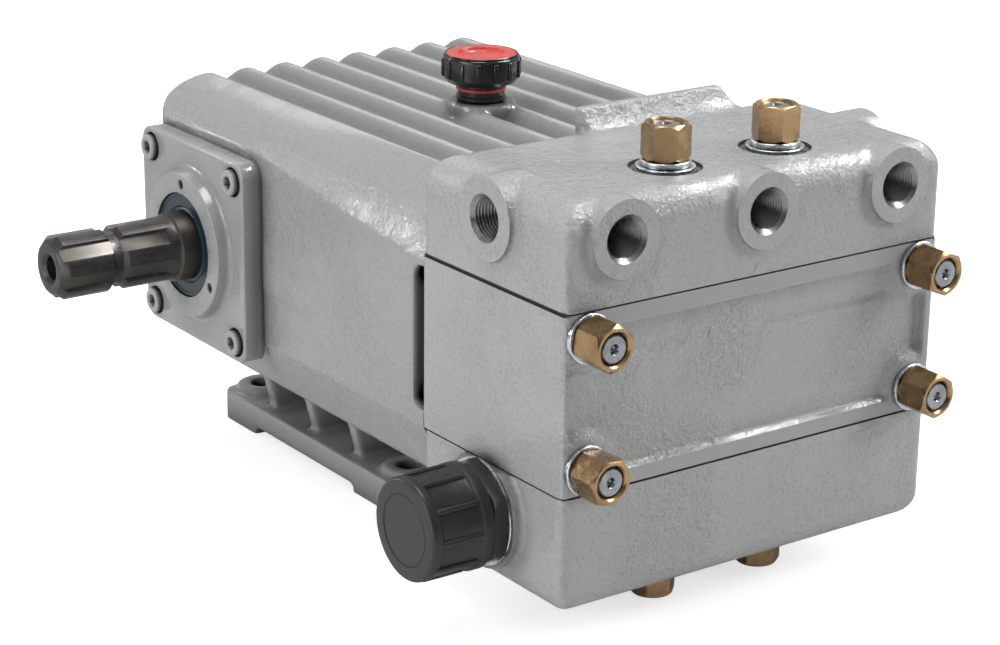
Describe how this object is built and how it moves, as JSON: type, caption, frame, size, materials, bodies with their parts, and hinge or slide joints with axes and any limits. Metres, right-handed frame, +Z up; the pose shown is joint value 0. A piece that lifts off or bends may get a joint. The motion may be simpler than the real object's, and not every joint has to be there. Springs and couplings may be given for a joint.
{
  "type": "piston pump",
  "caption": "High-pressure piston pump: finned crankcase with a splined shaft, and a bolted fluid end with threaded delivery ports and a capped suction port.",
  "frame": {"origin": "middle of the four foot holes, at the underside of the foot pads", "axes": "+Z up; -Y towards the fluid end and its front ports; -X along the drive shaft towards its splined tip"},
  "size_m": [0.3383, 0.4214, 0.2417],
  "materials": {
    "case_paint": "gloss grey paint on iron castings",
    "head_paint": "gloss light grey paint on iron castings",
    "gasket": "dark gasket board",
    "brass": "turned brass, slightly tarnished",
    "zinc": "zinc plated steel",
    "dark_steel": "oiled dark steel",
    "black_plastic": "moulded black plastic, satin",
    "gloss_black_plastic": "moulded black plastic, glossy",
    "red_plastic": "moulded red plastic",
    "seal_rubber": "dark blue seal rubber",
    "sight_glass": "clear lens over oil"
  },
  "bodies": {
    "housing": {"crankcase": "case_paint", "valve_block": "head_paint", "delivery_manifold": "head_paint", "suction_manifold": "head_paint", "upper_gasket": "gasket", "lower_gasket": "gasket", "front_nut_left_low": "brass", "front_nut_left_high": "brass", "front_nut_right_low": "brass", "front_nut_right_high": "brass", "front_washers": "zinc", "front_studs": "zinc", "top_nut_left": "brass", "bottom_nut_left": "brass", "top_nut_right": "brass", "bottom_nut_right": "brass", "upright_washers": "zinc", "upright_lock_washers": "zinc", "upright_studs": "zinc", "suction_washer_left": "zinc", "suction_adapter": "black_plastic", "suction_washer_right": "zinc", "suction_plug": "brass", "suction_cap": "black_plastic", "bearing_cover_left": "case_paint", "bearing_cover_right": "case_paint", "cover_screws_left": "dark_steel", "cover_screws_right": "dark_steel", "oil_seal": "seal_rubber", "filler_neck": "black_plastic", "filler_cap": "gloss_black_plastic", "filler_cap_insert": "red_plastic", "rear_cover": "case_paint", "rear_cover_screws": "dark_steel", "sight_glass_rim": "brass", "sight_glass_lens": "sight_glass", "drain_plug": "brass"},
    "shaft": {"drive_shaft": "dark_steel"}
  },
  "joints": [
    {"name": "shaft_turn", "type": "hinge", "parent": "housing", "child": "shaft", "pos_m": [-0.2, 0.0375, 0.125], "axis": [-1, 0, 0], "continuous": true}
  ]
}
